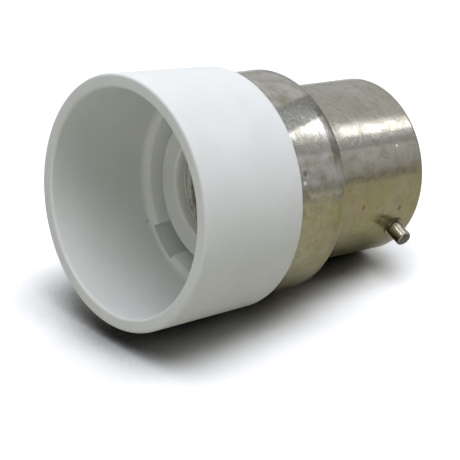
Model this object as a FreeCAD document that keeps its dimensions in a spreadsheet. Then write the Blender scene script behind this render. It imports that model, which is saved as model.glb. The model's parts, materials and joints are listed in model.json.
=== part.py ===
import FreeCAD, Part
import math
import os
import Sketcher

# Lamp socket adapter: a bayonet cap at one end and a small screw socket in a deep
# white cup at the other. Every piece is drawn round the adapter's own axis, with
# heights counted from the cup's rim towards the bayonet contacts. At the end all
# pieces are laid down together, the way the adapter rests on a table.

# Driving dimensions in millimetres, and angles in degrees about the adapter's axis
SIZES = {
    # White cup
    "rim_radius": 15.1,
    "rim_wall": 1.65,
    "rim_round": 0.35,
    "cup_length": 15.3,
    "cup_narrowing": 0.5,
    "cup_back_round": 0.45,
    "bore_narrowing": 0.45,
    "floor_round": 0.85,
    "floor_setback": 1.1,
    "floor_width": 0.9,
    "ledge_round": 0.25,
    "ledge_cone_width": 0.7,
    "ledge_cone_drop": 2.2,
    "ledge_thickness": 2.8,
    "lug_room": 2.0,
    "notch_wall": 0.45,
    "notch_angle": 22.0,
    "core_guide_gap": 0.2,
    # Stepped metal shell
    "sheet": 0.35,
    "skirt_inset": 1.05,
    "skirt_length": 8.1,
    "step_round": 0.8,
    "step_hollow": 0.35,
    "shell_radius": 11.0,
    "shell_length": 16.0,
    "end_round": 0.6,
    "lip_width": 1.35,
    # Bayonet pins
    "pin_radius": 1.0,
    "pin_neck_radius": 0.8,
    "pin_collar_radius": 1.2,
    "pin_collar_height": 0.15,
    "pin_tip": 13.6,
    "pin_from_end": 3.5,
    "pin_tip_round": 0.35,
    "pin_head_radius": 1.5,
    "pin_head_height": 0.5,
    "pin_head_gap": 0.12,
    # Insulator of the bayonet end
    "insulator_gap": 0.05,
    "insulator_seat": 0.8,
    "insulator_floor_depth": 1.6,
    "insulator_rise": 1.5,
    "insulator_collar": 0.5,
    "insulator_boss_gap": 0.4,
    "insulator_boss_cone": 1.3,
    "insulator_round": 0.3,
    "pin_slot_gap": 0.4,
    "wiring_room": 3.8,
    # White socket barrel
    "core_room": 0.85,
    "core_wall": 1.2,
    "core_face_round": 0.35,
    "socket_hole_radius": 7.1,
    "socket_hole_round": 0.2,
    "socket_lip": 1.5,
    "carrier_seat_depth": 2.4,
    "lug_clearance": 0.3,
    "lug_play": 0.1,
    "lug_angle": 19.0,
    # Screw sleeve
    "screw_radius": 7.0,
    "screw_sheet": 0.25,
    "collar_rise": 0.35,
    "collar_margin": 0.25,
    "flange_gap": 0.1,
    "tab_width": 3.6,
    "window_gap": 1.2,
    "window_height": 2.2,
    # Contacts of the socket
    "carrier_thickness": 1.95,
    "rivet_offset": 4.9,
    "rivet_radius": 0.9,
    "rivet_head_radius": 1.4,
    "rivet_head_height": 0.5,
    "fit_clearance": 0.05,
    "foot_margin": 1.6,
    "strip_width": 4.0,
    "strip_thickness": 0.4,
    "strip_rise": 3.0,
    "strip_crest": 1.0,
    "strip_tip": 2.6,
    "strip_tip_drop": 0.5,
    "strip_bend_round": 0.5,
    "strip_tip_round": 1.1,
    # Bayonet contacts
    "contact_offset": 4.6,
    "eyelet_radius": 2.3,
    "eyelet_thickness": 0.35,
    "eyelet_barrel_radius": 1.1,
    "eyelet_flare_radius": 1.7,
    "solder_radius": 1.75,
    "solder_height": 0.75,
    "solder_round": 0.6,
    # Lead wires
    "wire_radius": 0.5,
    "wire_rise": 1.4,
    "wire_climb": 0.3,
    "wire_bend": 1.0,
    # Turns about the axis, counted from straight up towards the near side
    "near_pin_angle": 114.3,
    "notch_place_angle": -141.0,
    "lock_angle": 68.0,
    "rivet_angle": 84.3,
}

FULL_TURN = 360.0
HALF_TURN = 180.0
QUARTER_TURN = 90.0
SAME = 1e-4
FILL_MISS = 0.01

DOC = FreeCAD.newDocument("lamp_socket_adapter")
sheet = DOC.addObject("Spreadsheet::Sheet", "Sizes")
for row, (alias, number) in enumerate(SIZES.items(), start=1):
    sheet.set(f"A{row}", alias)
    sheet.set(f"B{row}", str(number))
    sheet.setAlias(f"B{row}", alias)
DOC.recompute()


class Size:
    """A dimension that keeps its number and the sheet expression it comes from."""

    def __init__(self, number, text):
        self.number = number
        self.text = text

    def joined(self, sign, other, number):
        other_text = other.text if isinstance(other, Size) else str(other)
        return Size(number, f"({self.text} {sign} {other_text})")

    def __add__(self, other):
        return self.joined("+", other, self.number + plain(other))

    def __sub__(self, other):
        return self.joined("-", other, self.number - plain(other))

    def __truediv__(self, other):
        return self.joined("/", other, self.number / plain(other))

    def __neg__(self):
        return Size(-self.number, f"(0 - {self.text})")


def plain(value):
    """The bare number of a dimension, or a number as it is."""
    return value.number if isinstance(value, Size) else value


def size(alias):
    """A named cell of the sheet."""
    return Size(float(sheet.get(alias)), f"Sizes.{alias}")


ZERO = Size(0.0, "0")

# Heights that several pieces share, from the rim to the bayonet contacts
cup_back = size("cup_length")
core_face = cup_back - size("floor_setback")
lug_room_front = core_face + size("ledge_thickness")
lug_room_back = lug_room_front + size("lug_room")
step = cup_back + size("skirt_length")
neck_end = step - size("step_round")
shell_end = step + size("shell_length")
shoulder = shell_end - size("sheet")
pin_height = shell_end - size("pin_from_end")
insulator_face = shell_end + size("insulator_rise")
insulator_floor = shell_end - size("insulator_floor_depth")
eyelet_face = insulator_face + size("eyelet_thickness")
core_end = insulator_floor - size("wiring_room")
sleeve_front = core_face + size("socket_lip")
carrier_seat = core_end - size("carrier_seat_depth")
carrier_front = carrier_seat + size("screw_sheet")
carrier_back = carrier_front + size("carrier_thickness")
strip_face = carrier_front - size("strip_thickness")
collar_front = strip_face - size("strip_rise") - size("collar_margin")
collar_shoulder = collar_front - size("screw_sheet")
rivet_tail_end = carrier_back + size("rivet_head_height")

# Radii that several pieces share
rim_bore = size("rim_radius") - size("rim_wall")
cup_back_radius = size("rim_radius") - size("cup_narrowing")
floor_radius = rim_bore - size("bore_narrowing")
ledge_radius = floor_radius - size("floor_width")
neck_bore = ledge_radius - size("ledge_cone_width")
skirt_radius = cup_back_radius - size("skirt_inset")
neck_radius = skirt_radius - size("sheet")
notch_radius = neck_radius - size("notch_wall")
shell_radius = size("shell_radius")
shell_bore = shell_radius - size("sheet")
lip_radius = shell_bore - size("lip_width")
insulator_radius = shell_bore - size("insulator_gap")
boss_radius = lip_radius - size("insulator_boss_gap")
core_radius = shell_bore - size("core_room")
carrier_radius = core_radius - size("core_wall")
sleeve_radius = size("screw_radius") + size("screw_sheet")
collar_bore = size("screw_radius") + size("collar_rise")
collar_radius = sleeve_radius + size("collar_rise")
foot_outside = size("rivet_offset") + size("rivet_head_radius")
foot_inside = size("rivet_offset") - size("foot_margin")


def new_body(label):
    """A body whose label names its file."""
    body = DOC.addObject("PartDesign::Body", label)
    body.Label = label
    return body


def origin_feature(body, role):
    """One of the body's own planes or axes."""
    return next(item for item in body.Origin.OriginFeatures if item.Role == role)


def new_sketch(body, name, plane, height):
    """A sketch on one of the body's planes, lifted off it by a bound height."""
    sketch = body.newObject("Sketcher::SketchObject", name)
    sketch.AttachmentSupport = [(origin_feature(body, plane), "")]
    sketch.MapMode = "FlatFace"
    if height is not None:
        sketch.setExpression("AttachmentOffset.Base.z", height.text)
    return sketch


def bind(sketch, name, kind, where, value):
    """A dimension of a sketch that follows the sheet."""
    index = sketch.addConstraint(Sketcher.Constraint(kind, *where, plain(value)))
    if value is not ZERO:
        sketch.renameConstraint(index, name)
        sketch.setExpression(f"Constraints.{name}", value.text)


def outline(body, name, corners, plane="XZ_Plane", height=None):
    """A closed sketch of straight edges, each corner held by two bound distances."""
    sketch = new_sketch(body, name, plane, height)
    points = [FreeCAD.Vector(plain(across), plain(along), 0) for across, along in corners]
    for start, end in zip(points, points[1:] + points[:1]):
        sketch.addGeometry(Part.LineSegment(start, end), False)
    for edge in range(len(points)):
        following = (edge + 1) % len(points)
        sketch.addConstraint(Sketcher.Constraint("Coincident", edge, 2, following, 1))
    for edge, (across, along) in enumerate(corners):
        bind(sketch, f"across_{edge}", "DistanceX", (-1, 1, edge, 1), across)
        bind(sketch, f"along_{edge}", "DistanceY", (-1, 1, edge, 1), along)
    return sketch


def turned(body, name, corners, angle=None, cut=False):
    """A profile of radii and heights, turned about the body's own axis."""
    sketch = outline(body, f"{name}_profile", corners)
    kind = "PartDesign::Groove" if cut else "PartDesign::Revolution"
    feature = body.newObject(kind, name)
    feature.Profile = (sketch, [""])
    feature.ReferenceAxis = (sketch, ["V_Axis"])
    feature.Angle = FULL_TURN
    if angle is not None:
        feature.setExpression("Angle", angle.text)
        feature.Midplane = True
    DOC.recompute()
    return feature


def padded(body, name, sketch, length, middle=False):
    """A straight pad of a sketch."""
    feature = body.newObject("PartDesign::Pad", name)
    feature.Profile = (sketch, [""])
    feature.Midplane = middle
    feature.setExpression("Length", length.text)
    DOC.recompute()
    return feature


def pocketed(body, name, sketch, depth=None):
    """A cut along the sketch's normal, or right through both ways with no depth."""
    before = body.Shape.Volume
    feature = body.newObject("PartDesign::Pocket", name)
    feature.Profile = (sketch, [""])
    if depth is None:
        feature.Midplane = True
        feature.Type = "ThroughAll"
    else:
        feature.Reversed = True
        feature.setExpression("Length", depth.text)
    DOC.recompute()
    if body.Shape.Volume >= before:
        raise RuntimeError(f"{name} cuts nothing")
    return feature


def round_hole(body, name, plane, centre, radius, height=None, depth=None):
    """A round hole whose centre lies at two distances from the body's origin."""
    sketch = new_sketch(body, f"{name}_circle", plane, height)
    middle = FreeCAD.Vector(plain(centre[0]), plain(centre[1]), 0)
    circle = Part.Circle(middle, FreeCAD.Vector(0, 0, 1), plain(radius))
    edge = sketch.addGeometry(circle, False)
    bind(sketch, "across", "DistanceX", (-1, 1, edge, 3), centre[0])
    bind(sketch, "along", "DistanceY", (-1, 1, edge, 3), centre[1])
    bind(sketch, "hole_radius", "Radius", (edge,), radius)
    return pocketed(body, name, sketch, depth)


def doubled(body, name, feature):
    """A second copy of a feature, on the other side of the body's own axis."""
    pattern = body.newObject("PartDesign::PolarPattern", name)
    pattern.Originals = [feature]
    pattern.Axis = (origin_feature(body, "Z_Axis"), [""])
    pattern.Angle = FULL_TURN
    pattern.Occurrences = 2
    body.Tip = pattern
    DOC.recompute()
    return pattern


def rounded(body, name, chosen, radius):
    """A fillet on the edges of the body that a test chooses."""
    base = body.Tip
    edges = enumerate(base.Shape.Edges, start=1)
    names = [f"Edge{index}" for index, edge in edges if chosen(edge)]
    if not names:
        raise RuntimeError(f"{name} finds no edge")
    feature = body.newObject("PartDesign::Fillet", name)
    feature.Base = (base, names)
    feature.setExpression("Radius", radius.text)
    DOC.recompute()
    return feature


def ring(radius, height):
    """A test for a circular edge round the axis, of a radius and at a height."""
    def chosen(edge):
        if not isinstance(edge.Curve, Part.Circle):
            return False
        same_radius = abs(edge.Curve.Radius - plain(radius)) < SAME
        return same_radius and abs(edge.Curve.Center.z - plain(height)) < SAME
    return chosen


def crossing(across, along):
    """A test for a straight edge across a strip, at a corner of its side view."""
    def chosen(edge):
        return all(abs(point.X - plain(across)) < SAME and abs(point.Z - plain(along)) < SAME
                   for point in edge.Vertexes)
    return chosen


def make_shade_cup():
    """White cup: tapered wall, conical ledge with key notches, undercut and neck."""
    body = new_body("shade_cup")
    guide_radius = core_radius + size("core_guide_gap")
    cone_end = core_face + size("ledge_cone_drop")
    turned(body, "cup_wall", [
        (rim_bore, ZERO),
        (size("rim_radius"), ZERO),
        (cup_back_radius, cup_back),
        (neck_radius, cup_back),
        (neck_radius, neck_end),
        (guide_radius, neck_end),
        (guide_radius, lug_room_back),
        (notch_radius, lug_room_back),
        (notch_radius, lug_room_front),
        (neck_bore, lug_room_front),
        (neck_bore, cone_end),
        (ledge_radius, core_face),
        (floor_radius, core_face),
    ])
    rounded(body, "floor_corner", ring(floor_radius, core_face), size("floor_round"))
    rounded(body, "ledge_edge", ring(ledge_radius, core_face), size("ledge_round"))
    rounded(body, "rim_outer_edge", ring(size("rim_radius"), ZERO), size("rim_round"))
    rounded(body, "rim_inner_edge", ring(rim_bore, ZERO), size("rim_round"))
    rounded(body, "cup_back_edge", ring(cup_back_radius, cup_back), size("cup_back_round"))
    notch_mouth = core_face - size("floor_round")
    notch = turned(body, "key_notch", [
        (core_radius, notch_mouth),
        (notch_radius, notch_mouth),
        (notch_radius, lug_room_back),
        (core_radius, lug_room_back),
    ], size("notch_angle"), cut=True)
    doubled(body, "key_notches", notch)
    return body


def make_socket_core():
    """White barrel of the screw socket, with lugs that lock behind the cup's ledge."""
    body = new_body("socket_core")
    hole_radius = size("socket_hole_radius")
    turned(body, "barrel", [
        (hole_radius, core_face),
        (core_radius, core_face),
        (core_radius, core_end),
        (carrier_radius, core_end),
        (carrier_radius, carrier_seat),
        (collar_radius, carrier_seat),
        (collar_radius, collar_shoulder),
        (sleeve_radius, collar_shoulder),
        (sleeve_radius, sleeve_front),
        (hole_radius, sleeve_front),
    ])
    rounded(body, "face_outer_edge", ring(core_radius, core_face), size("core_face_round"))
    rounded(body, "face_inner_edge", ring(hole_radius, core_face), size("socket_hole_round"))
    lug_root = core_radius - size("core_guide_gap")
    lug_tip = notch_radius - size("lug_clearance")
    lug_front = lug_room_front + size("lug_play")
    lug_back = lug_room_back - size("lug_play")
    lug = turned(body, "lug", [
        (lug_root, lug_front),
        (lug_tip, lug_front),
        (lug_tip, lug_back),
        (lug_root, lug_back),
    ], size("lug_angle"))
    doubled(body, "lugs", lug)
    return body


def make_screw_shell():
    """Metal sleeve of the socket: collar and flange at its back, one tab, one window."""
    body = new_body("screw_shell")
    metal = size("screw_sheet")
    flange_radius = carrier_radius - size("flange_gap")
    turned(body, "sleeve", [
        (size("screw_radius"), sleeve_front),
        (sleeve_radius, sleeve_front),
        (sleeve_radius, collar_shoulder),
        (collar_radius, collar_shoulder),
        (collar_radius, carrier_seat),
        (flange_radius, carrier_seat),
        (flange_radius, carrier_front),
        (collar_bore, carrier_front),
        (collar_bore, collar_front),
        (size("screw_radius"), collar_front),
    ])
    half_window = size("strip_width") / 2 + size("window_gap")
    window = outline(body, "window_profile", [
        (-carrier_radius, -half_window),
        (-foot_inside, -half_window),
        (-foot_inside, half_window),
        (-carrier_radius, half_window),
    ], "XY_Plane", carrier_front - size("window_height"))
    pocketed(body, "contact_window", window, size("window_height") + metal)
    half_tab = size("tab_width") / 2
    tab = outline(body, "tab_profile", [
        (foot_inside, -half_tab),
        (collar_radius, -half_tab),
        (collar_radius, half_tab),
        (foot_inside, half_tab),
    ], "XY_Plane", carrier_seat)
    padded(body, "tab", tab, metal)
    round_hole(body, "tab_hole", "XY_Plane", (size("rivet_offset"), ZERO),
               size("rivet_radius") + size("fit_clearance"), carrier_seat, metal)
    return body


def make_contact_carrier():
    """Insulating disc that closes the barrel behind the sleeve's flange."""
    body = new_body("contact_carrier")
    turned(body, "disc", [
        (ZERO, carrier_front),
        (carrier_radius, carrier_front),
        (carrier_radius, carrier_back),
        (ZERO, carrier_back),
    ])
    hole_radius = size("rivet_radius") + size("fit_clearance")
    for name, offset in (("shell_rivet_hole", size("rivet_offset")),
                         ("centre_rivet_hole", -size("rivet_offset"))):
        round_hole(body, name, "XY_Plane", (offset, ZERO), hole_radius,
                   carrier_front, size("carrier_thickness"))
    return body


def make_centre_contact():
    """Bent spring strip: a flat foot on the carrier, and a tongue up to the axis."""
    body = new_body("centre_contact")
    thickness = size("strip_thickness")
    crest_place = (size("strip_crest"), carrier_front - size("strip_rise"))
    tip_place = (size("strip_tip"), crest_place[1] + size("strip_tip_drop"))
    rear = [
        (-foot_outside, carrier_front),
        (-foot_inside, carrier_front),
        crest_place,
        tip_place,
    ]
    front = [(across, along - thickness) for across, along in reversed(rear)]
    sketch = outline(body, "strip_profile", rear + front)
    padded(body, "strip", sketch, size("strip_width"), middle=True)
    inside = size("strip_bend_round")
    rounded(body, "foot_bend_inside", crossing(*front[2]), inside)
    rounded(body, "crest_bend_inside", crossing(*rear[2]), inside)
    rounded(body, "foot_bend_outside", crossing(*rear[1]), inside + thickness)
    rounded(body, "crest_bend_outside", crossing(*front[1]), inside + thickness)

    def tip_corner(edge):
        lengths = abs(edge.Length - plain(thickness)) < SAME
        return lengths and abs(edge.CenterOfMass.x - plain(size("strip_tip"))) < SAME

    rounded(body, "tip_corners", tip_corner, size("strip_tip_round"))
    round_hole(body, "foot_hole", "XY_Plane", (-size("rivet_offset"), ZERO),
               size("rivet_radius") + size("fit_clearance"), strip_face, thickness)
    return body


def make_contact_rivet(label, seat):
    """Rivet with a flat head on the socket's side and a set tail behind the carrier."""
    body = new_body(label)
    head_top = seat - size("rivet_head_height")
    turned(body, "rivet", [
        (ZERO, head_top),
        (size("rivet_head_radius"), head_top),
        (size("rivet_head_radius"), seat),
        (size("rivet_radius"), seat),
        (size("rivet_radius"), carrier_back),
        (size("rivet_head_radius"), carrier_back),
        (size("rivet_head_radius"), rivet_tail_end),
        (ZERO, rivet_tail_end),
    ])
    return body


def make_bayonet_shell():
    """Stepped shell of thin drawn sheet, with its end turned in over the insulator."""
    body = new_body("bayonet_shell")
    metal = size("sheet")
    turned(body, "drawn_shell", [
        (neck_radius, cup_back),
        (skirt_radius, cup_back),
        (skirt_radius, step),
        (shell_radius, step),
        (shell_radius, shell_end),
        (lip_radius, shell_end),
        (lip_radius, shoulder),
        (shell_bore, shoulder),
        (shell_bore, step - metal),
        (neck_radius, step - metal),
    ])
    step_inside = step - metal
    bends = {
        "step_outside": (skirt_radius, step, size("step_round")),
        "step_lining": (neck_radius, step_inside, size("step_round") - metal),
        "step_hollow": (shell_radius, step, size("step_hollow")),
        "step_throat": (shell_bore, step_inside, size("step_hollow") + metal),
        "end_outside": (shell_radius, shell_end, size("end_round")),
        "end_lining": (shell_bore, shoulder, size("end_round") - metal),
    }
    for name, (radius, height, bend) in bends.items():
        rounded(body, name, ring(radius, height), bend)
    round_hole(body, "pin_holes", "YZ_Plane", (ZERO, pin_height), size("pin_neck_radius"))
    return body


def make_bayonet_pin(label):
    """Locking pin along its own axis: tip, collar on the shell, neck, tail set inside."""
    body = new_body(label)
    head_seat = shell_bore - size("pin_head_gap")
    head_inside = head_seat - size("pin_head_height")
    collar_top = shell_radius + size("pin_collar_height")
    turned(body, "pin", [
        (ZERO, head_inside),
        (size("pin_head_radius"), head_inside),
        (size("pin_head_radius"), head_seat),
        (size("pin_neck_radius"), head_seat),
        (size("pin_neck_radius"), shell_radius),
        (size("pin_collar_radius"), shell_radius),
        (size("pin_collar_radius"), collar_top),
        (size("pin_radius"), collar_top),
        (size("pin_radius"), size("pin_tip")),
        (ZERO, size("pin_tip")),
    ])
    rounded(body, "tip_edge", ring(size("pin_radius"), size("pin_tip")), size("pin_tip_round"))
    return body


def make_cap_insulator():
    """Moulded insulator: a boss out of the shell's end and a slotted skirt to the barrel."""
    body = new_body("cap_insulator")
    skirt_bore = core_radius - size("insulator_seat")
    turned(body, "moulding", [
        (ZERO, insulator_floor),
        (skirt_bore, insulator_floor),
        (skirt_bore, core_end),
        (insulator_radius, core_end),
        (insulator_radius, shoulder),
        (boss_radius, shoulder),
        (boss_radius, shell_end + size("insulator_collar")),
        (boss_radius - size("insulator_boss_cone"), insulator_face),
        (ZERO, insulator_face),
    ])
    rounded(body, "shoulder_edge", ring(insulator_radius, shoulder), size("insulator_round"))
    half_slot = size("pin_head_radius") + size("pin_slot_gap")
    slots = outline(body, "pin_slots_profile", [
        (-shell_bore, -half_slot),
        (shell_bore, -half_slot),
        (shell_bore, half_slot),
        (-shell_bore, half_slot),
    ], "XY_Plane", core_end)
    pocketed(body, "pin_slots", slots, size("wiring_room"))
    hole_radius = size("eyelet_barrel_radius") + size("fit_clearance")
    floor_thickness = insulator_face - insulator_floor
    for name, offset in (("left_eyelet_hole", size("contact_offset")),
                         ("right_eyelet_hole", -size("contact_offset"))):
        round_hole(body, name, "XY_Plane", (ZERO, offset), hole_radius,
                   insulator_floor, floor_thickness)
    return body


def make_contact_eyelet(label):
    """Metal eyelet through the insulator; its flat head is a bayonet contact."""
    body = new_body(label)
    bore = size("wire_radius") + size("fit_clearance")
    flare = insulator_floor - size("eyelet_thickness")
    turned(body, "eyelet", [
        (bore, flare),
        (size("eyelet_flare_radius"), flare),
        (size("eyelet_flare_radius"), insulator_floor),
        (size("eyelet_barrel_radius"), insulator_floor),
        (size("eyelet_barrel_radius"), insulator_face),
        (size("eyelet_radius"), insulator_face),
        (size("eyelet_radius"), eyelet_face),
        (bore, eyelet_face),
    ])
    return body


def make_solder_dome(label):
    """Blob of solder that closes an eyelet over the end of its wire."""
    body = new_body(label)
    top = eyelet_face + size("solder_height")
    turned(body, "solder", [
        (ZERO, eyelet_face),
        (size("solder_radius"), eyelet_face),
        (size("solder_radius"), top),
        (ZERO, top),
    ])
    rounded(body, "solder_edge", ring(size("solder_radius"), top), size("solder_round"))
    return body


def around(turn, radius, height):
    """A point at a turn about the axis, a radius from it and a height."""
    angle = math.radians(turn)
    across = plain(radius)
    return FreeCAD.Vector(across * math.cos(angle), across * math.sin(angle), plain(height))


def rounded_path(points, radius):
    """A wire of straight runs through some points, joined by tangent arcs."""
    edges = []
    start = points[0]
    for before, corner, after in zip(points, points[1:], points[2:]):
        back = (before - corner).normalize()
        ahead = (after - corner).normalize()
        half_turn = (math.pi - back.getAngle(ahead)) / 2
        reach = radius * math.tan(half_turn)
        middle = (back + ahead).normalize()
        dip = radius / math.cos(half_turn) - radius
        arc_start = corner + back * reach
        arc_end = corner + ahead * reach
        edges.append(Part.LineSegment(start, arc_start).toShape())
        edges.append(Part.Arc(arc_start, corner + middle * dip, arc_end).toShape())
        start = arc_end
    edges.append(Part.LineSegment(start, points[-1]).toShape())
    return Part.Wire(edges)


def make_lead_wire(label, rivet_turn, contact_turn):
    """Wire from the end of a rivet, round the wiring room and up through an eyelet."""
    tail = around(rivet_turn, size("rivet_offset"), rivet_tail_end)
    low = around(rivet_turn, size("rivet_offset"), rivet_tail_end + size("wire_rise"))
    high_level = rivet_tail_end + size("wire_rise") + size("wire_climb")
    high = around(contact_turn, size("contact_offset"), high_level)
    end = around(contact_turn, size("contact_offset"), eyelet_face)
    path = rounded_path([tail, low, high, end], plain(size("wire_bend")))
    wire_radius = plain(size("wire_radius"))
    section = Part.Wire(Part.Circle(tail, FreeCAD.Vector(0, 0, 1), wire_radius).toShape())
    wire = DOC.addObject("Part::Feature", label)
    wire.Label = label
    wire.Shape = path.makePipeShell([section], True, True)
    swept = math.pi * wire_radius ** 2 * path.Length
    if abs(wire.Shape.Volume - swept) > FILL_MISS * swept:
        raise RuntimeError(f"{label} doesn't fill its path")
    return wire


def turned_by(degrees):
    """A turn about the adapter's axis."""
    return FreeCAD.Placement(FreeCAD.Vector(), FreeCAD.Rotation(FreeCAD.Vector(0, 0, 1), degrees))


def moved_to(x, z):
    """A shift across and along the adapter's axis."""
    return FreeCAD.Placement(FreeCAD.Vector(x, 0, z), FreeCAD.Rotation())


def resting_tilt():
    """The axis's tip, in degrees, when the rounded step and end both touch a table."""
    run = plain(shell_end - size("end_round")) - plain(neck_end)
    fall = plain(skirt_radius - size("step_round")) - plain(shell_radius - size("end_round"))
    extra = plain(size("step_round") - size("end_round"))
    return math.degrees(math.atan2(fall, run) + math.asin(extra / math.hypot(fall, run)))


pin_turn = plain(size("near_pin_angle"))
notch_turn = plain(size("notch_place_angle"))
rivet_turn = plain(size("rivet_angle"))
left_turn = pin_turn + QUARTER_TURN
right_turn = pin_turn - QUARTER_TURN
rivet_shift = moved_to(plain(size("rivet_offset")), 0)
contact_shift = moved_to(plain(size("contact_offset")), 0)
sideways = FreeCAD.Placement(FreeCAD.Vector(0, 0, plain(pin_height)),
                             FreeCAD.Rotation(FreeCAD.Vector(0, 1, 0), QUARTER_TURN))

# Each piece with its place about the adapter's axis
pieces = [
    (make_shade_cup(), turned_by(notch_turn)),
    (make_socket_core(), turned_by(notch_turn + plain(size("lock_angle")))),
    (make_screw_shell(), turned_by(rivet_turn)),
    (make_contact_carrier(), turned_by(rivet_turn)),
    (make_centre_contact(), turned_by(rivet_turn)),
    (make_contact_rivet("shell_contact_rivet", carrier_seat), turned_by(rivet_turn) * rivet_shift),
    (make_contact_rivet("centre_contact_rivet", strip_face),
     turned_by(rivet_turn + HALF_TURN) * rivet_shift),
    (make_lead_wire("lead_wire_shell", rivet_turn, right_turn), turned_by(0)),
    (make_lead_wire("lead_wire_centre", rivet_turn + HALF_TURN, left_turn), turned_by(0)),
    (make_bayonet_shell(), turned_by(pin_turn)),
    (make_bayonet_pin("bayonet_pin_near"), turned_by(pin_turn) * sideways),
    (make_bayonet_pin("bayonet_pin_far"), turned_by(pin_turn + HALF_TURN) * sideways),
    (make_cap_insulator(), turned_by(pin_turn)),
    (make_contact_eyelet("contact_eyelet_left"), turned_by(left_turn) * contact_shift),
    (make_contact_eyelet("contact_eyelet_right"), turned_by(right_turn) * contact_shift),
    (make_solder_dome("solder_dome_left"), turned_by(left_turn) * contact_shift),
    (make_solder_dome("solder_dome_right"), turned_by(right_turn) * contact_shift),
]

# Laid on its side with the bayonet end towards +X, and tipped until it rests
lying = FreeCAD.Placement(FreeCAD.Vector(), FreeCAD.Rotation(
    FreeCAD.Vector(0, 1, 0), QUARTER_TURN + resting_tilt())) * turned_by(HALF_TURN)
for piece, place in pieces:
    piece.Placement = lying * place
DOC.recompute()

# The origin is under the middle of the lying adapter, on the table
box = Part.makeCompound([piece.Shape for piece, place in pieces]).optimalBoundingBox(False, False)
to_origin = FreeCAD.Placement(
    FreeCAD.Vector(-box.Center.x, -box.Center.y, -box.ZMin), FreeCAD.Rotation())
for piece, place in pieces:
    piece.Placement = to_origin * piece.Placement
DOC.recompute()

for item in DOC.Objects:
    if "Invalid" in item.State or "Error" in item.State:
        raise RuntimeError(f"{item.Name} failed: {item.State}")
for piece, place in pieces:
    if piece.Shape.isNull() or not piece.Shape.isValid() or len(piece.Shape.Solids) != 1:
        raise RuntimeError(f"{piece.Label} isn't one valid solid")

os.makedirs("parts", exist_ok=True)
for piece, place in pieces:
    piece.Shape.exportStep(f"parts/{piece.Label}.step")
print(f"{len(pieces)} pieces, tilt {resting_tilt():.2f} degrees, box {box.XLength:.2f} x "
      f"{box.YLength:.2f} x {box.ZLength:.2f} mm")
print(f"axis starts at {pieces[0][0].Placement.Base}")
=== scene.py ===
import json
import math

import bpy
from mathutils import Matrix, Vector


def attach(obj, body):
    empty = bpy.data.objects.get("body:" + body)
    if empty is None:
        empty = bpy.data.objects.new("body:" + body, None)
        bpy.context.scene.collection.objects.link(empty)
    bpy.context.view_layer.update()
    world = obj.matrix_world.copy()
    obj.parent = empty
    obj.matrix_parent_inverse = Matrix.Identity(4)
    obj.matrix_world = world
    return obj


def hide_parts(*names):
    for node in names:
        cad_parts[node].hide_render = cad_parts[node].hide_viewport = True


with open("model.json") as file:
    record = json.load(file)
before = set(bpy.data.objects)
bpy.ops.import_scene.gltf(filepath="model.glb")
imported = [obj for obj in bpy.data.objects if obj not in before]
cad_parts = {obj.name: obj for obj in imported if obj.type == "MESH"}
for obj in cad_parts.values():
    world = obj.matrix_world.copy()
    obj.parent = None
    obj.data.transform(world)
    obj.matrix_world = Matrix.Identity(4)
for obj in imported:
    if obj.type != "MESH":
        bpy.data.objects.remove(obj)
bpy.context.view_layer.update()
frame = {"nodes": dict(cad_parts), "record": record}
nodes = frame["nodes"]

MM = 0.001

# The adapter's own axis, from the middle of the cup's rim towards the bayonet end
AXIS_START = Vector((-20.0144, 0.0, 16.9121)) * MM
TILT = math.radians(8.9543)
ALONG = Vector((math.cos(TILT), 0.0, -math.sin(TILT)))
UPWARD = Vector((math.sin(TILT), 0.0, math.cos(TILT)))
NEARWARD = Vector((0.0, -1.0, 0.0))

# Turns about the axis, in degrees from straight up towards the near side
NEAR_PIN_TURN = 114.3
RIVET_TURN = 84.3

# Sizes shared with the solids, in millimetres
BORE_RADIUS = 7.1
SKIRT_FRONT = 15.3
SKIRT_RADIUS = 13.55
SHOULDER = 22.45
SHELL_RADIUS = 11.0
PIN_HEIGHT = 35.9
PIN_TIP = 13.6
SLEEVE_FRONT = 15.7
SLEEVE_BACK = 31.85
SLEEVE_RADIUS = 7.0
FLANGE_RADIUS = 8.5
COLLAR_FRONT = 28.2
COLLAR_BORE = 7.35


def on_adapter(turn, radius, height):
    """A point of the row frame at a turn, a radius and a height of the adapter."""
    across = UPWARD * math.cos(turn) + NEARWARD * math.sin(turn)
    return AXIS_START + across * (radius * MM) + ALONG * (height * MM)


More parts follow.
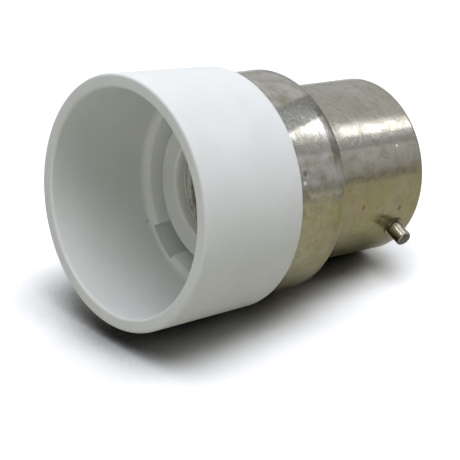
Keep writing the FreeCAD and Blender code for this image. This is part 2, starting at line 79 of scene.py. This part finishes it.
class Graph:
    """A node tree with one shader, and short ways to add and join nodes."""

    # The colour sockets of a mix node, which come after those for numbers and vectors
    MIX_FIRST = 6
    MIX_SECOND = 7
    MIX_RESULT = 2

    def __init__(self, tree, shader, output):
        self.tree = tree
        self.tree.nodes.clear()
        self.shader = self.add(shader)
        end = self.add(output)
        self.tree.links.new(self.shader.outputs[0], end.inputs["Surface"])

    def add(self, kind, **settings):
        """A new node with its settings."""
        node = self.tree.nodes.new(kind)
        for name, value in settings.items():
            setattr(node, name, value)
        return node

    def feed(self, value, socket):
        """Joins an output to a socket, or writes a plain value into it."""
        if isinstance(value, bpy.types.NodeSocket):
            self.tree.links.new(value, socket)
        else:
            socket.default_value = value

    def math(self, operation, first, second=0.0):
        """One sum on outputs or plain numbers."""
        node = self.add("ShaderNodeMath", operation=operation)
        self.feed(first, node.inputs[0])
        self.feed(second, node.inputs[1])
        return node.outputs[0]

    def adapter_place(self):
        """The shaded point in the adapter's directions, and its height along the axis,
        its turn about the axis and its radius, in millimetres and radians."""
        coordinates = self.add("ShaderNodeTexCoord")
        mapping = self.add("ShaderNodeMapping", vector_type="POINT")
        turn = Matrix.Rotation(-TILT, 3, "Y")
        start = turn @ (AXIS_START / MM)
        mapping.inputs["Location"].default_value = -start
        mapping.inputs["Rotation"].default_value = (0.0, -TILT, 0.0)
        mapping.inputs["Scale"].default_value = (1 / MM,) * 3
        self.feed(coordinates.outputs["Object"], mapping.inputs["Vector"])
        parts = self.add("ShaderNodeSeparateXYZ")
        self.feed(mapping.outputs[0], parts.inputs[0])
        height, away, up = parts.outputs
        near = self.math("MULTIPLY", away, -1.0)
        angle = self.math("ARCTAN2", near, up)
        radius = self.math("SQRT", self.math("ADD", self.math("MULTIPLY", near, near),
                                             self.math("MULTIPLY", up, up)))
        return mapping.outputs[0], height, angle, radius

    def distance_from(self, place, turn, radius, level):
        """Distance of the shaded point from one at a turn, a radius and a height."""
        angle = math.radians(turn)
        node = self.add("ShaderNodeVectorMath", operation="DISTANCE")
        self.feed(place, node.inputs[0])
        node.inputs[1].default_value = (level, -radius * math.sin(angle),
                                        radius * math.cos(angle))
        return node.outputs["Value"]

    def point(self, x, y, z):
        """A vector from three values."""
        node = self.add("ShaderNodeCombineXYZ")
        for value, socket in zip((x, y, z), node.inputs):
            self.feed(value, socket)
        return node.outputs[0]

    def noise(self, vector, scale, detail=4.0, roughness=0.55, distortion=0.0):
        """Smooth noise around one half."""
        node = self.add("ShaderNodeTexNoise")
        self.feed(vector, node.inputs["Vector"])
        node.inputs["Scale"].default_value = scale
        node.inputs["Detail"].default_value = detail
        node.inputs["Roughness"].default_value = roughness
        node.inputs["Distortion"].default_value = distortion
        return node.outputs["Fac"]

    def ramp(self, value, low, high, start=0.0, end=1.0):
        """Carries a value from one range to another, held at its ends."""
        node = self.add("ShaderNodeMapRange", interpolation_type="SMOOTHSTEP")
        for number, socket in zip((low, high, start, end), node.inputs[1:5]):
            self.feed(number, socket)
        self.feed(value, node.inputs[0])
        return node.outputs[0]

    def band(self, value, middle, half_width, soft):
        """One inside a band of values, falling to nothing beyond its edges."""
        away = self.math("ABSOLUTE", self.math("SUBTRACT", value, middle))
        return self.ramp(away, half_width, half_width + soft, 1.0, 0.0)

    def blend(self, share, first, second):
        """The first colour where the share is nothing, and the second where it is one."""
        node = self.add("ShaderNodeMix", data_type="RGBA")
        self.feed(share, node.inputs[0])
        self.feed(first, node.inputs[self.MIX_FIRST])
        self.feed(second, node.inputs[self.MIX_SECOND])
        return node.outputs[self.MIX_RESULT]

    def bump(self, height, strength, distance, normal=None):
        """A normal that follows a height, laid over an earlier normal if there is one."""
        node = self.add("ShaderNodeBump")
        node.inputs["Strength"].default_value = strength
        node.inputs["Distance"].default_value = distance
        self.feed(height, node.inputs["Height"])
        if normal is not None:
            self.feed(normal, node.inputs["Normal"])
        return node.outputs[0]

    def finish_metal(self, tint, roughness, normal):
        """Joins a metal's tint, roughness and normal to the shader."""
        self.feed(tint, self.shader.inputs["Base Color"])
        self.shader.inputs["Metallic"].default_value = 1.0
        self.feed(roughness, self.shader.inputs["Roughness"])
        self.feed(normal, self.shader.inputs["Normal"])


def new_material(name, shader="ShaderNodeBsdfPrincipled"):
    """A material with its node tree."""
    material = bpy.data.materials.new(name)
    material.use_nodes = True
    return material, Graph(material.node_tree, shader, "ShaderNodeOutputMaterial")


def colour(red, green, blue):
    """A colour written as display values of 0 to 255."""
    def linear(value):
        share = value / 255
        return share / 12.92 if share <= 0.04045 else ((share + 0.055) / 1.055) ** 2.4
    return (linear(red), linear(green), linear(blue), 1.0)


# White plastic, and the painted light on the wall of its round hole
WHITE_MAIN = colour(233, 235, 233)
WHITE_CLOUD = colour(229, 231, 228)
WHITE_DUST = colour(196, 197, 192)
BORE_PAINTED_LIGHT = colour(252, 252, 248)
NICK_GREY = colour(112, 112, 104)

# The rounding of the plastic's edges, and of the round hole in the barrel's face
PLASTIC_EDGE = 0.2
BORE_EDGE = 1.0

# How much light goes into the plastic, and how far, in metres for red, green and blue
SCATTER_SHARE = 0.08
SCATTER_REACH = (0.0012, 0.0012, 0.0011)

# A small nick in the cup's wall: turn about the axis, radius and height
NICK = (-126.7, 13.3, 13.4)


def moulded_plastic():
    """Satin white plastic with slight clouding, a fine moulded grain, faint dust and painted
    light on the wall of the round hole.
    """
    material, graph = new_material("white_moulding")
    place, _, _, radius = graph.adapter_place()
    cloud = graph.noise(place, 0.16, 3.0)
    grain = graph.noise(place, 9.0, 5.0, 0.6)
    dust = graph.noise(place, 1.6, 6.0, 0.7)
    ripple = graph.noise(place, 0.5, 2.0)

    tint = graph.blend(graph.ramp(cloud, 0.35, 0.7), WHITE_MAIN, WHITE_CLOUD)
    tint = graph.blend(graph.ramp(dust, 0.66, 0.74, 0.0, 0.35), tint, WHITE_DUST)
    nick = graph.ramp(graph.distance_from(place, *NICK), 0.15, 0.45, 0.6, 0.0)
    tint = graph.blend(nick, tint, NICK_GREY)
    # Painted light: the wall of the round hole is made lighter, as if lit through the cup's
    # mouth.
    bore_lit_share = graph.ramp(radius, BORE_RADIUS + 0.1, BORE_RADIUS + 0.4, 1.0, 0.0)
    tint = graph.blend(bore_lit_share, tint, BORE_PAINTED_LIGHT)

    soft_edge = graph.add("ShaderNodeBevel", samples=6)
    rounding = graph.ramp(radius, BORE_RADIUS + 0.1, BORE_RADIUS + 0.5,
                          BORE_EDGE * MM, PLASTIC_EDGE * MM)
    graph.feed(rounding, soft_edge.inputs["Radius"])
    normal = graph.bump(grain, 0.06, 0.0004, soft_edge.outputs[0])
    normal = graph.bump(ripple, 0.025, 0.001, normal)

    shader = graph.shader
    graph.feed(tint, shader.inputs["Base Color"])
    graph.feed(graph.ramp(cloud, 0.3, 0.75, 0.42, 0.52), shader.inputs["Roughness"])
    graph.feed(normal, shader.inputs["Normal"])
    shader.inputs["IOR"].default_value = 1.5
    shader.inputs["Subsurface Weight"].default_value = SCATTER_SHARE
    shader.inputs["Subsurface Radius"].default_value = SCATTER_REACH
    shader.inputs["Subsurface Scale"].default_value = 1.0
    return material


# Nickel-plated sheet: clean greys above, an olive painted reflection of the floor below, and
# the marks on both
SKIRT_GREY = colour(180, 179, 174)
SHELL_GREY = colour(166, 163, 154)
STAINED_GREY = colour(154, 151, 140)
SKIRT_PAINTED_FLOOR = colour(158, 152, 124)
SHELL_PAINTED_FLOOR = colour(146, 139, 103)
BROWN_HUE = colour(150, 131, 108)
GREEN_HUE = colour(141, 138, 88)
BLOTCH = colour(130, 124, 100)
SPECK = colour(92, 87, 76)
TURNING_MARK = colour(104, 100, 90)
MIRRORED_LINE_DARK = colour(104, 90, 76)
DULL_SHADE_GREY = colour(90, 91, 88)
SHADE_AND_DOT_DARK = colour(56, 52, 44)
LIGHT_MARK = colour(232, 230, 224)

# Heights of the rings of painted shade in the step's hollow, at the turned-in end and beside
# the cup, each with its half width and how softly it ends
SHADE_RINGS = (
    (23.2, 0.08, 0.12),
    (23.75, 0.10, 0.25),
    (39.15, 0.10, 0.12),
    (SKIRT_FRONT, 0.15, 0.25),
)

# Small marks on the metal: turn about the axis, radius, height and size
DARK_DOTS = (
    (94.4, SHELL_RADIUS, 29.1, 0.42),
    (99.5, SHELL_RADIUS, 35.7, 0.45),
    (65.5, SKIRT_RADIUS, 16.8, 0.50),
)
LIGHT_DOTS = (
    (70.2, SKIRT_RADIUS, 16.6, 0.32),
    (57.7, SHELL_RADIUS, 35.2, 0.24),
    (133.4, SHELL_RADIUS, 30.6, 0.22),
)

# Dull patches beside the streak of light, also darkened as painted shade that trims its
# reflection:
# turn and half width, how the turn falls with the height, the height and half length, and the
# strength
DULL_SHADED_PATCHES = (
    (35.5, 6.0, 1.08, 17.5, 5.0, 0.85),
    (53.8, 1.8, 0.0, 17.5, 4.5, 0.5),
    (51.5, 3.0, 0.0, 32.0, 7.5, 0.5),
    (41.0, 7.0, 0.0, 24.5, 1.5, 0.5),
)
PATCH_EDGE = math.radians(2.5)
PATCH_END = 1.2

# The turns beside the streak of light between which the painted shade on the step's shoulder is
# darkest, and how softly this ends
STREAK_TURN = math.radians(47.0)
STREAK_HALF = math.radians(8.0)
STREAK_EDGE = math.radians(14.0)

# Where the metal mirrors the line between floor and room, on the skirt and on the shell; below
# it the floor's reflection is painted in olive
LINE_ON_SKIRT = math.radians(79.0)
LINE_ON_SHELL = math.radians(76.0)


def turning_marks(graph, height, angle, closeness, seed):
    """Noise drawn out around the axis."""
    across = graph.math("MULTIPLY", height, closeness)
    around = graph.math("MULTIPLY", angle, 2.0)
    return graph.noise(graph.point(across, around, seed), 1.0, 4.0, 0.6)


def stains_and_painted_reflection(graph, place, height, angle, stains, blotches):
    """Grey above and, on the lower side, a painted reflection of the floor in olive, lighter on
    the skirt, with a thin dark line between the two, a painted reflection of the line between
    floor and room."""
    hues = graph.noise(place, 0.42, 3.0, 0.6, 0.8)
    turned = graph.math("ADD", graph.math("ABSOLUTE", angle),
                        graph.ramp(blotches, 0.3, 0.7, -0.03, 0.03))
    on_shell = graph.ramp(height, SHOULDER - 0.4, SHOULDER + 0.8)
    line = graph.ramp(on_shell, 0.0, 1.0, LINE_ON_SKIRT, LINE_ON_SHELL)
    below = graph.math("SUBTRACT", turned, line)
    # Painted reflection: below where the metal mirrors the line between floor and room, the
    # tint turns olive and darker.
    painted_floor_share = graph.ramp(below, math.radians(-12), math.radians(8))
    painted_floor_share = graph.math("MULTIPLY", painted_floor_share, graph.ramp(stains, 0.25, 0.6, 0.7, 1.0))
    upper_tint = graph.blend(on_shell, SKIRT_GREY, SHELL_GREY)
    upper_tint = graph.blend(graph.ramp(stains, 0.38, 0.66), upper_tint, STAINED_GREY)
    painted_floor_tint = graph.blend(graph.ramp(height, 17.0, 23.2), SKIRT_PAINTED_FLOOR, SHELL_PAINTED_FLOOR)
    brown = graph.ramp(hues, 0.52, 0.66, 0.0, 0.7)
    painted_floor_tint = graph.blend(brown, painted_floor_tint, BROWN_HUE)
    green = graph.ramp(hues, 0.34, 0.48, 0.6, 0.0)
    painted_floor_tint = graph.blend(green, painted_floor_tint, GREEN_HUE)
    tint = graph.blend(painted_floor_share, upper_tint, painted_floor_tint)
    # Painted reflection: a thin dark line where the metal mirrors the line between floor and
    # room.
    mirrored_line_share = graph.math("MULTIPLY",
                            graph.band(below, 0.0, math.radians(0.5), math.radians(2.4)),
                            graph.ramp(hues, 0.35, 0.65, 0.15, 0.5))
    return tint, mirrored_line_share


def dullness_and_shade(graph, height, angle, specks):
    """How dull the plating is beside the streak of light, where it is also darkened as painted
    shade.
    """
    dull_and_shade = 0.0
    for turn, half_width, lean, level, half_length, strength in DULL_SHADED_PATCHES:
        leaning = graph.math("MULTIPLY", graph.math("SUBTRACT", height, level),
                             math.radians(lean))
        patch = graph.band(graph.math("ADD", angle, leaning), math.radians(turn),
                           math.radians(half_width), PATCH_EDGE)
        ends = graph.band(height, level, half_length, PATCH_END)
        patch = graph.math("MULTIPLY", patch, ends)
        dull_and_shade = graph.math("MAXIMUM", graph.math("MULTIPLY", patch, strength), dull_and_shade)
    return graph.math("MULTIPLY", dull_and_shade, graph.ramp(specks, 0.35, 0.6, 0.6, 1.0))


def painted_shade_and_dots(graph, place, height, angle, blotches, from_pin):
    """Painted shade on the step's shoulder, darkest beside the streak of light, in its hollow,
    at the turned-in end, beside the cup and round the near pin's foot, with the dark dots."""
    # Painted shade on the step's shoulder, darkest beside the streak of light.
    beside_streak = graph.band(angle, STREAK_TURN, STREAK_HALF, STREAK_EDGE)
    shade_and_dots = graph.math("MULTIPLY", graph.band(height, SHOULDER, 0.50, 0.30),
                       graph.ramp(beside_streak, 0.0, 1.0, 0.16, 0.66))
    # Painted shade in the hollows, at the turned-in end and beside the cup.
    for level, half_width, soft in SHADE_RINGS:
        shade_and_dots = graph.math("MAXIMUM", shade_and_dots, graph.band(height, level, half_width, soft))
    shade_and_dots = graph.math("MULTIPLY", shade_and_dots, graph.ramp(blotches, 0.3, 0.6, 0.75, 0.95))
    # Painted shade round the near pin's foot.
    foot = graph.band(from_pin, 1.27, 0.03, 0.15)
    shade_and_dots = graph.math("MAXIMUM", shade_and_dots, graph.math("MULTIPLY", foot, 0.45))
    for turn, radius, level, size in DARK_DOTS:
        away = graph.distance_from(place, turn, radius, level)
        shade_and_dots = graph.math("MAXIMUM", shade_and_dots, graph.ramp(away, size / 3, size, 0.5, 0.0))
    return shade_and_dots


def plated_sheet():
    """Drawn and nickel-plated sheet, tarnished, with turning marks, an olive painted reflection
    of the floor on its lower side and painted shade in its corners.
    """
    material, graph = new_material("nickel_plate")
    place, height, angle, _ = graph.adapter_place()
    rings = turning_marks(graph, height, angle, 5.0, 0.0)
    fine_rings = turning_marks(graph, height, angle, 18.0, 3.0)
    stains = graph.noise(place, 0.30, 5.0, 0.62, 0.4)
    blotches = graph.noise(place, 0.85, 4.0, 0.6, 0.6)
    specks = graph.noise(place, 2.6, 5.0, 0.65)
    from_pin = graph.distance_from(place, NEAR_PIN_TURN, SHELL_RADIUS, PIN_HEIGHT)
    dull_and_shade = dullness_and_shade(graph, height, angle, specks)
    shade_and_dots = painted_shade_and_dots(graph, place, height, angle, blotches, from_pin)

    # Stains above, and the painted reflection of the floor below, with the line between them.
    tint, mirrored_line_share = stains_and_painted_reflection(graph, place, height, angle, stains, blotches)
    tint = graph.blend(graph.ramp(blotches, 0.46, 0.68, 0.0, 0.5), tint, BLOTCH)
    tint = graph.blend(graph.ramp(specks, 0.66, 0.73, 0.0, 0.4), tint, SPECK)
    tint = graph.blend(graph.ramp(rings, 0.35, 0.7, 0.0, 0.16), tint, TURNING_MARK)
    # Painted reflection of the line between floor and room.
    tint = graph.blend(mirrored_line_share, tint, MIRRORED_LINE_DARK)
    # Painted shade beside the streak of light, on rougher plating.
    tint = graph.blend(dull_and_shade, tint, DULL_SHADE_GREY)
    # Painted shade on the shoulder, in the hollows and round the pin's foot, with the dark
    # dots.
    tint = graph.blend(shade_and_dots, tint, SHADE_AND_DOT_DARK)
    for turn, radius, level, size in LIGHT_DOTS:
        away = graph.distance_from(place, turn, radius, level)
        tint = graph.blend(graph.ramp(away, size / 2, size, 0.9, 0.0), tint, LIGHT_MARK)

    rough = graph.ramp(stains, 0.3, 0.7, 0.10, 0.17)
    rough = graph.math("ADD", rough, graph.ramp(blotches, 0.4, 0.75, 0.0, 0.08))
    rough = graph.math("ADD", rough, graph.math("MULTIPLY", shade_and_dots, 0.25))
    rough = graph.math("ADD", rough, graph.math("MULTIPLY", dull_and_shade, 0.25))
    rough = graph.math("ADD", rough, graph.ramp(from_pin, 1.5, 4.5, 0.26, 0.0))

    normal = graph.bump(rings, 0.07, 0.0002)
    normal = graph.bump(fine_rings, 0.09, 0.0001, normal)
    normal = graph.bump(stains, 0.04, 0.0006, normal)
    graph.finish_metal(tint, rough, normal)
    return material


# The pins' plating, and the painted shade at their foot and tip
PIN_GREY = colour(158, 154, 142)
PIN_WORN = colour(128, 121, 102)
PIN_PAINTED_SHADE = colour(62, 56, 46)

# Across the near pin, in the adapter's directions, with the place on it of its dark stripe, a
# painted reflection
ACROSS_PIN = (0.675, -0.304, 0.673)
STRIPE_PLACE = ACROSS_PIN[0] * PIN_HEIGHT + 0.30


def pin_metal():
    """The pins' worn plating, with painted shade at the foot, the tip's edge and the tip, and
    one dark stripe of painted reflection.
    """
    material, graph = new_material("pin_plate")
    place, _, _, radius = graph.adapter_place()
    wear = graph.noise(place, 1.4, 4.0, 0.6)
    scratch = graph.noise(place, 7.0, 4.0, 0.7)
    # Painted shade at the pin's foot, along the tip's edge and over the tip.
    foot = graph.band(radius, SHELL_RADIUS + 0.31, 0.05, 0.10)
    edge = graph.band(radius, PIN_TIP - 0.25, 0.06, 0.14)
    dark = graph.math("MAXIMUM", foot, graph.math("MULTIPLY", edge, 0.45))
    tip = graph.ramp(radius, PIN_TIP - 0.08, PIN_TIP - 0.02, 0.0, 0.9)
    dark = graph.math("MAXIMUM", dark, tip)
    # Painted reflection: one dark stripe along a fixed side of the near pin.
    across = graph.add("ShaderNodeVectorMath", operation="DOT_PRODUCT")
    graph.feed(place, across.inputs[0])
    across.inputs[1].default_value = ACROSS_PIN
    stripe = graph.band(across.outputs["Value"], STRIPE_PLACE, 0.06, 0.16)
    dark = graph.math("MAXIMUM", dark, graph.math("MULTIPLY", stripe, 0.8))

    tint = graph.blend(graph.ramp(wear, 0.4, 0.65), PIN_GREY, PIN_WORN)
    tint = graph.blend(dark, tint, PIN_PAINTED_SHADE)
    rough = graph.ramp(scratch, 0.3, 0.7, 0.14, 0.30)
    graph.finish_metal(tint, rough, graph.bump(scratch, 0.10, 0.0002))
    return material


# Small metal parts: main colour, tarnished colour and roughness
BARE_METALS = {
    "socket_metal": (colour(196, 194, 186), colour(164, 160, 150), 0.6),
    "contact_brass": (colour(214, 184, 124), colour(170, 140, 86), 0.28),
    "solder": (colour(205, 206, 208), colour(160, 161, 163), 0.34),
    "wire_copper": (colour(205, 140, 104), colour(150, 96, 70), 0.35),
}


def bare_metal(name, main, dark, roughness):
    """A small metal part with clouded tarnish and fine scratches."""
    material, graph = new_material(name)
    place = graph.adapter_place()[0]
    cloud = graph.noise(place, 0.9, 5.0, 0.6)
    scratch = graph.noise(place, 7.0, 4.0, 0.7)
    tint = graph.blend(graph.ramp(cloud, 0.4, 0.7), main, dark)
    rough = graph.ramp(scratch, 0.3, 0.7, roughness, roughness + 0.15)
    graph.finish_metal(tint, rough, graph.bump(scratch, 0.12, 0.0002))
    return material


MATERIAL_OF_SLOT = {
    "white_plastic": moulded_plastic(),
    "nickel_plate": plated_sheet(),
}
for slot_name, look in BARE_METALS.items():
    MATERIAL_OF_SLOT[slot_name] = bare_metal(slot_name, *look)
PIN_METAL = pin_metal()
slot_of_node = {row["node"]: row["material_slot"] for row in frame["record"]["subparts"]}

SHARP_EDGE = math.radians(32.0)


def dress(piece, material):
    """Gives a piece its material, and smooth shading broken at its sharp edges."""
    piece.data.materials.clear()
    piece.data.materials.append(material)
    piece.data.shade_smooth()
    piece.data.set_sharp_from_angle(angle=SHARP_EDGE)


for node_name, node in nodes.items():
    dress(node, MATERIAL_OF_SLOT[slot_of_node[node_name]])
for node_name in ("bayonet_pin_near", "bayonet_pin_far"):
    dress(nodes[node_name], PIN_METAL)


def grid_piece(name, rows, columns, place, skip=None, closed=True):
    """A sheet of quads from a function of two whole numbers."""
    mesh = bpy.data.meshes.new(name)
    vertices = [place(row, column) for row in range(rows) for column in range(columns)]
    faces = []
    last = columns if closed else columns - 1
    for row in range(rows - 1):
        for column in range(last):
            if skip is not None and skip(row, column):
                continue
            beside = (column + 1) % columns
            faces.append((row * columns + column, row * columns + beside,
                          (row + 1) * columns + beside, (row + 1) * columns + column))
    mesh.from_pydata(vertices, [], faces)
    mesh.update()
    piece = bpy.data.objects.new(name, mesh)
    bpy.context.scene.collection.objects.link(piece)
    return piece


# The socket's sleeve with its rolled thread, right-handed, and the flange behind it
THREAD_PITCH = 2.822
THREAD_DEPTH = 0.8
THREAD_START = 15.9
THREAD_END = 27.6
THREAD_FADE = 1.0
SHEET = 0.2
SLEEVE_COLUMNS = 144
SLEEVE_ROWS = 110
FLANGE_ROWS = 4

# The window in the sleeve for the strip of the centre contact
WINDOW_HALF = 3.2
WINDOW_START = 29.65

sleeve_run = SLEEVE_BACK - SHEET / 2 - SLEEVE_FRONT
sleeve_profile = [SLEEVE_FRONT + sleeve_run * row / (SLEEVE_ROWS - 1)
                  for row in range(SLEEVE_ROWS)]


def thread_share(height):
    """How deep the thread is at a height: nothing at its ends, all of it between."""
    rise = (height - THREAD_START) / THREAD_FADE
    fall = (THREAD_END - height) / THREAD_FADE
    return max(0.0, min(1.0, rise, fall))


def sleeve_point(row, column):
    """A point of the sleeve's middle surface, or of its flange beyond the last row."""
    turn = 2 * math.pi * column / SLEEVE_COLUMNS
    middle = COLLAR_BORE + SHEET / 2
    if row >= SLEEVE_ROWS:
        radius = middle + (FLANGE_RADIUS - middle) * (row - SLEEVE_ROWS + 1) / FLANGE_ROWS
        return on_adapter(turn, radius, SLEEVE_BACK - SHEET / 2)
    height = sleeve_profile[row]
    wave = (1 + math.cos(2 * math.pi * height / THREAD_PITCH - turn)) / 2
    rise = min(1.0, max(0.0, (height - COLLAR_FRONT) / SHEET + 1.0))
    radius = SLEEVE_RADIUS + SHEET / 2 + (COLLAR_BORE - SLEEVE_RADIUS) * rise
    radius -= THREAD_DEPTH * thread_share(height) * wave
    return on_adapter(turn, radius, height)


def in_window(row, column):
    """True where the strip of the centre contact passes through the sleeve."""
    turn = 2 * math.pi * (column + 0.5) / SLEEVE_COLUMNS
    away = math.radians(RIVET_TURN + 180) - turn
    side = SLEEVE_RADIUS * math.sin(away)
    behind = math.cos(away) > 0
    height = sleeve_profile[min(row, SLEEVE_ROWS - 1)]
    return behind and abs(side) < WINDOW_HALF and height > WINDOW_START


sleeve = grid_piece("threaded_sleeve", SLEEVE_ROWS + FLANGE_ROWS, SLEEVE_COLUMNS,
                    sleeve_point, in_window)
thicken = sleeve.modifiers.new("sheet", "SOLIDIFY")
thicken.thickness = SHEET * MM
thicken.offset = 0.0
dress(sleeve, MATERIAL_OF_SLOT["socket_metal"])
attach(sleeve, "root")
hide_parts("screw_shell")

# Camera at the photograph's viewing angle
PHOTO_WIDTH = 460
FOCAL_PIXELS = 1812
SENSOR = 36.0
CAMERA_PLACE = Vector((-0.13316, -0.15088, 0.10561))
CAMERA_FORWARD = Vector((0.58589, 0.68105, -0.43916)).normalized()
CAMERA_RIGHT = Vector((0.75806, -0.65222, 0.0)).normalized()
CAMERA_ABOVE = CAMERA_RIGHT.cross(CAMERA_FORWARD)

camera_data = bpy.data.cameras.new("camera")
camera_data.sensor_width = SENSOR
camera_data.lens = FOCAL_PIXELS / PHOTO_WIDTH * SENSOR
camera_data.clip_start = 0.01
camera_data.clip_end = 20.0
camera = bpy.data.objects.new("camera", camera_data)
bpy.context.scene.collection.objects.link(camera)
camera_turn = Matrix((CAMERA_RIGHT, CAMERA_ABOVE, -CAMERA_FORWARD)).transposed()
camera.matrix_world = Matrix.Translation(CAMERA_PLACE) @ camera_turn.to_4x4()
bpy.context.scene.camera = camera

# Plain pale floor, which the camera sees as white around the object's soft shadow
FLOOR_SIZE = 4.0
FLOOR_TO_CAMERA = 1.2
FLOOR_MIRRORED = 0.75
FLOOR_BOUNCE = 0.5
FLOOR_BLUE = 0.88
SHADOW_REACH = 0.030
SHADOW_SPAN = (0.32, 0.775)
SHADOW_FROM = (0.86, -0.16, 0.47)

# The room around it, at the strength that each kind of ray sees. What the metal mirrors
# grows lighter from the horizon up to a rise of ROOM_RISE.
ROOM_TO_CAMERA = 1.0
ROOM_MIRRORED = (0.64, 0.86)
ROOM_RISE = 0.45
ROOM_LIGHT = 0.04


def by_ray(graph, to_camera, mirrored, rest):
    """One level for the camera, one for mirrors and glass, and one for plain light."""
    rays = graph.add("ShaderNodeLightPath")
    in_mirror = graph.math("MAXIMUM", rays.outputs["Is Glossy Ray"],
                           rays.outputs["Is Transmission Ray"])
    level = graph.ramp(in_mirror, 0.0, 1.0, rest, mirrored)
    return graph.ramp(rays.outputs["Is Camera Ray"], 0.0, 1.0, level, to_camera)


def floor_corner(row, column):
    """One corner of the floor."""
    return ((row - 0.5) * FLOOR_SIZE, (column - 0.5) * FLOOR_SIZE, 0.0)


floor = grid_piece("floor", 2, 2, floor_corner, closed=False)
floor_material, floor_graph = new_material("floor", "ShaderNodeBsdfDiffuse")
shelter = floor_graph.add("ShaderNodeAmbientOcclusion", samples=16)
shelter.inputs["Distance"].default_value = SHADOW_REACH
floor_graph.feed(floor_graph.point(*SHADOW_FROM), shelter.inputs["Normal"])
openness = floor_graph.ramp(shelter.outputs["AO"], *SHADOW_SPAN)
seen = floor_graph.math("MULTIPLY", openness, FLOOR_TO_CAMERA)
level = by_ray(floor_graph, seen, FLOOR_MIRRORED, FLOOR_BOUNCE)
blue = by_ray(floor_graph, seen, FLOOR_MIRRORED * FLOOR_BLUE, FLOOR_BOUNCE * FLOOR_BLUE)
floor_graph.feed(floor_graph.point(level, level, blue), floor_graph.shader.inputs["Color"])
floor.data.materials.append(floor_material)

world = bpy.data.worlds.new("studio")
bpy.context.scene.world = world
world.use_nodes = True
room = Graph(world.node_tree, "ShaderNodeBackground", "ShaderNodeOutputWorld")
room.shader.inputs["Color"].default_value = (1.0, 1.0, 1.0, 1.0)
directions = room.add("ShaderNodeTexCoord")
rise = room.add("ShaderNodeSeparateXYZ")
room.feed(directions.outputs["Generated"], rise.inputs[0])
mirrored = room.ramp(rise.outputs["Z"], 0.0, ROOM_RISE, *ROOM_MIRRORED)
room.feed(by_ray(room, ROOM_TO_CAMERA, mirrored, ROOM_LIGHT), room.shader.inputs["Strength"])

# Each lamp with its direction from the adapter, its width and height in metres, its watts
# and its colour
COOL = (0.925, 0.94, 1.0)
WARM = (1.0, 0.995, 0.88)
LAMPS = {
    "top": ((-0.10, -0.15, 0.98), 0.40, 0.40, 2.1, COOL),
    "top_right": ((0.40, -0.20, 0.89), 0.30, 0.30, 0.4, COOL),
    "streak": ((0.75, -0.238, 0.616), 0.045, 0.30, 0.28, COOL),
    "back": ((0.25, 0.75, 0.60), 0.40, 0.20, 0.75, COOL),
    "mouth_side": ((-0.80, -0.55, 0.25), 0.30, 0.30, 0.31, WARM),
}
LAMP_TARGET = Vector((0.0, 0.0, 0.014))
LAMP_DISTANCE = 0.5

for name, (direction, width, height, watts, shade) in LAMPS.items():
    lamp = bpy.data.lights.new(name, "AREA")
    lamp.shape = "RECTANGLE"
    lamp.size = width
    lamp.size_y = height
    lamp.energy = watts
    lamp.color = shade
    holder = bpy.data.objects.new(name, lamp)
    bpy.context.scene.collection.objects.link(holder)
    offset = Vector(direction).normalized() * LAMP_DISTANCE
    holder.location = LAMP_TARGET + offset
    holder.rotation_mode = "QUATERNION"
    holder.rotation_quaternion = (-offset).to_track_quat("-Z", "Y")

bpy.context.scene.view_settings.view_transform = "Standard"
